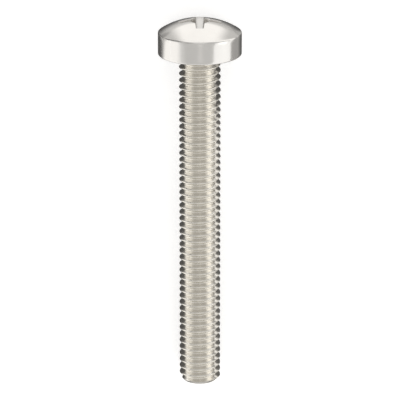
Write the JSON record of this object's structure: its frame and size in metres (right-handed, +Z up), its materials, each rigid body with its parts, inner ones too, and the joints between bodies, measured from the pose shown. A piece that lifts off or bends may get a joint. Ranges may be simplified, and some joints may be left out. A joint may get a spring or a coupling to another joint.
{
  "type": "pan head machine screw",
  "caption": "Pan head machine screw with a domed head, a cross recess and a metric thread up to the head, for bolting thin parts together through a clearance hole.",
  "frame": {"origin": "on the surface that the screw lies on, under the middle of its length and on its middle line", "axes": "+Z up, +Y along the lying screw towards its head, +X across it. The screw's own axis is raised 3.5 degrees from +Y at the head, because it lies on the edge of its head and the end of its thread"},
  "size_m": [0.006, 0.0276, 0.0061],
  "materials": {
    "stainless_steel": "polished"
  },
  "bodies": {
    "root": {"screw": "stainless_steel"}
  },
  "joints": []
}
